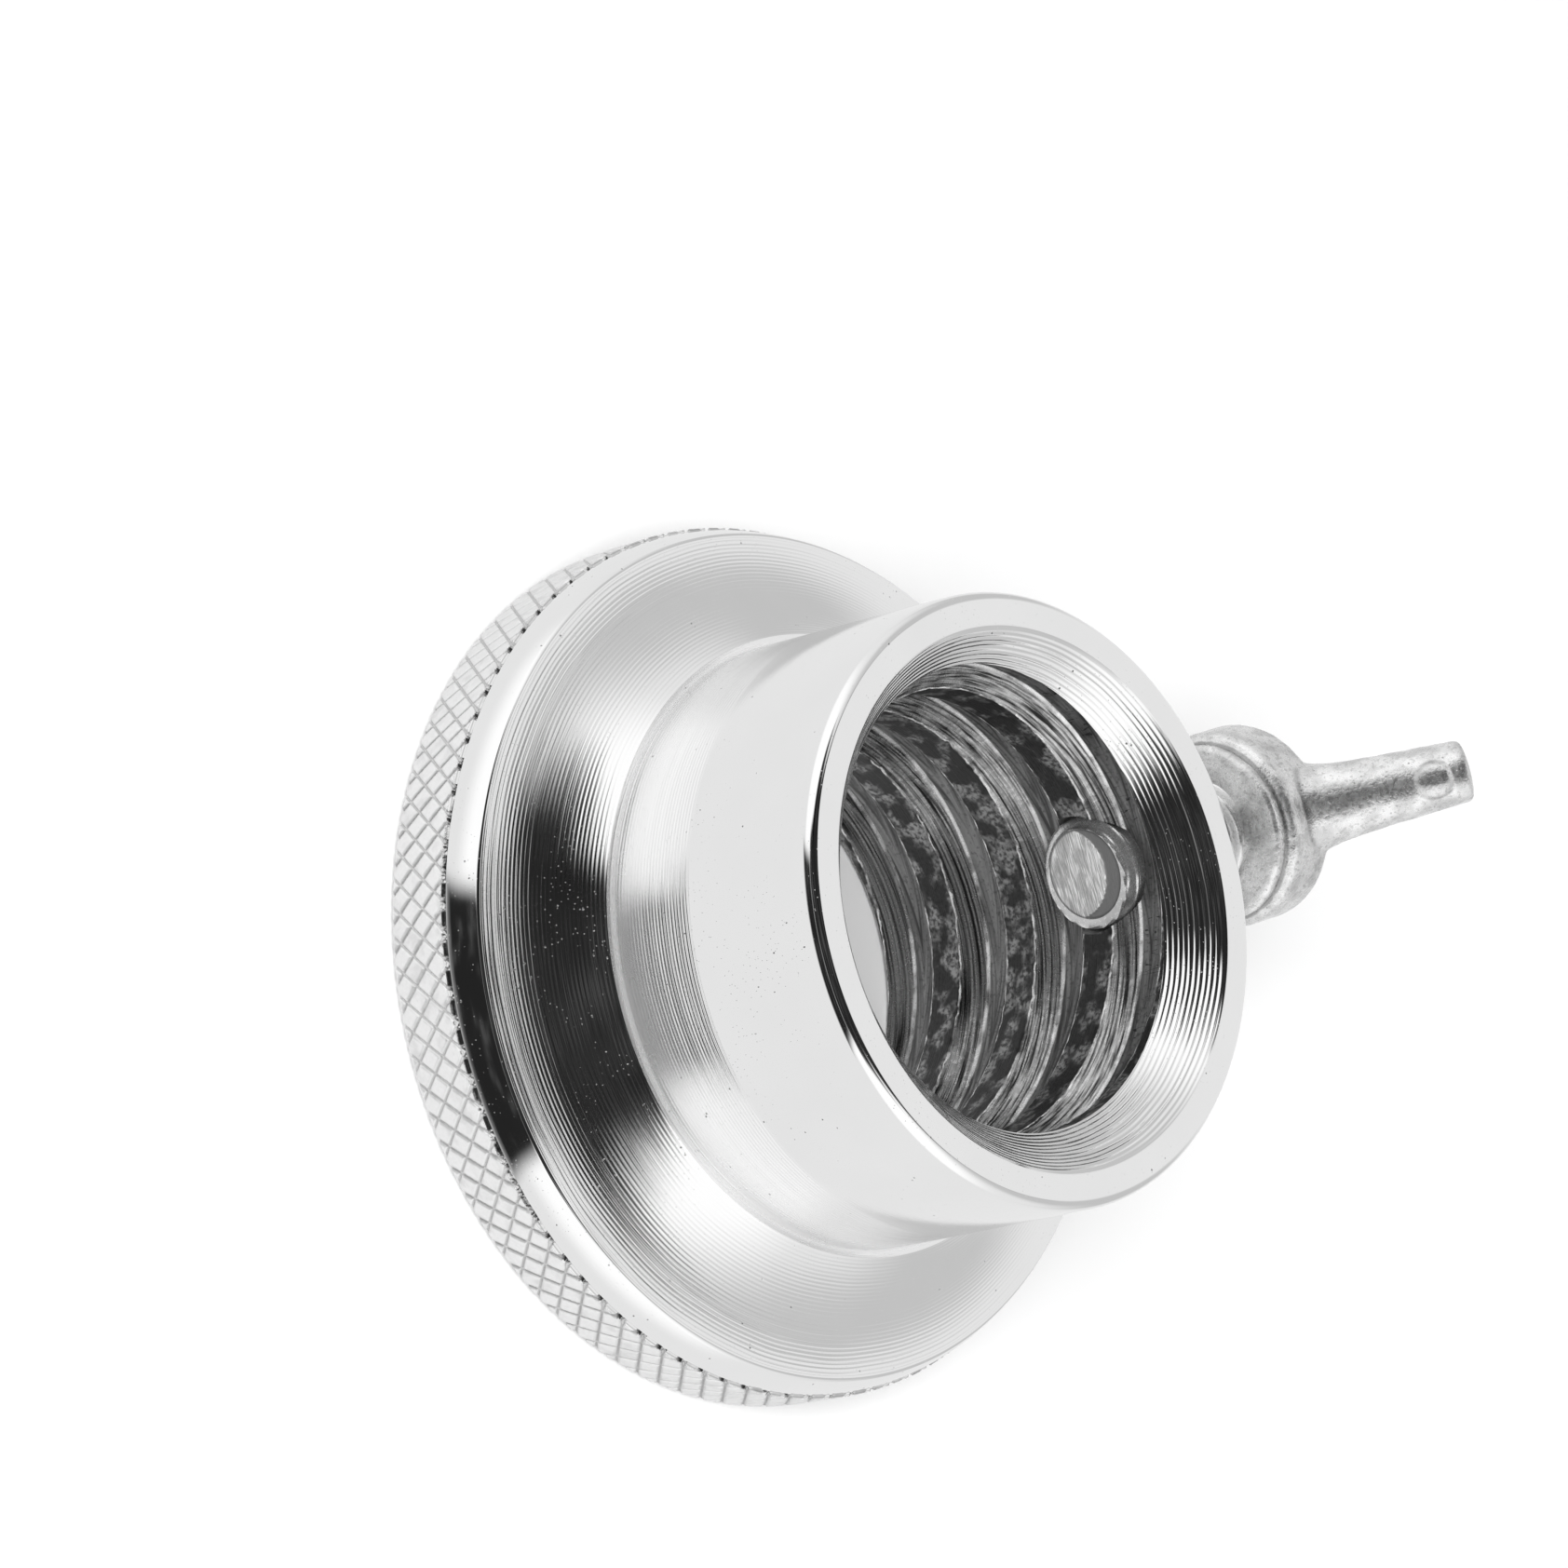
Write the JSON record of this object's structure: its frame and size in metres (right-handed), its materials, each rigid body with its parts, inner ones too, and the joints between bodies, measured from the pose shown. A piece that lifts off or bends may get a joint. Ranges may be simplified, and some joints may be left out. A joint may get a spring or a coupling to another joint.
{
  "type": "flanged locking collar",
  "caption": "Chromed flanged collar with a knurled rim and threaded bore that a radial wing screw locks on a round threaded bar.",
  "frame": {"origin": "where the bore's axis meets the flat back face of the flange, the face the collar stands on", "axes": "+Z along the bore's axis from the flange to the bevelled mouth, +Y along the wing screw's axis from the bore outwards, +X completing a right-handed frame"},
  "size_m": [0.06, 0.0709, 0.037],
  "materials": {
    "chrome_plate": "bright chrome plate over turned steel, knurled on the band, dull and worn in the bore",
    "screw_steel": "zinc-plated screw thread with a bare ground tip",
    "zinc_plated_casting": "satin zinc plate over a fine cast skin"
  },
  "bodies": {
    "collar": {"collar_body": "chrome_plate"},
    "stud": {"screw_stud": "screw_steel"},
    "wing": {"wing_head": "zinc_plated_casting"}
  },
  "joints": [
    {"name": "screw_travel", "type": "slide", "parent": "collar", "child": "stud", "axis": [0, 1, 0], "range_m": [-0.00406, 0.00281]},
    {"name": "screw_turn", "type": "hinge", "parent": "stud", "child": "wing", "pos_m": [0, 0.0305, 0.0208], "axis": [0, 1, 0], "range_deg": [-1170, 810]}
  ],
  "couplings": [
    {"joint": "screw_travel", "follows": "screw_turn", "m_per_rad": 0.00019894}
  ]
}
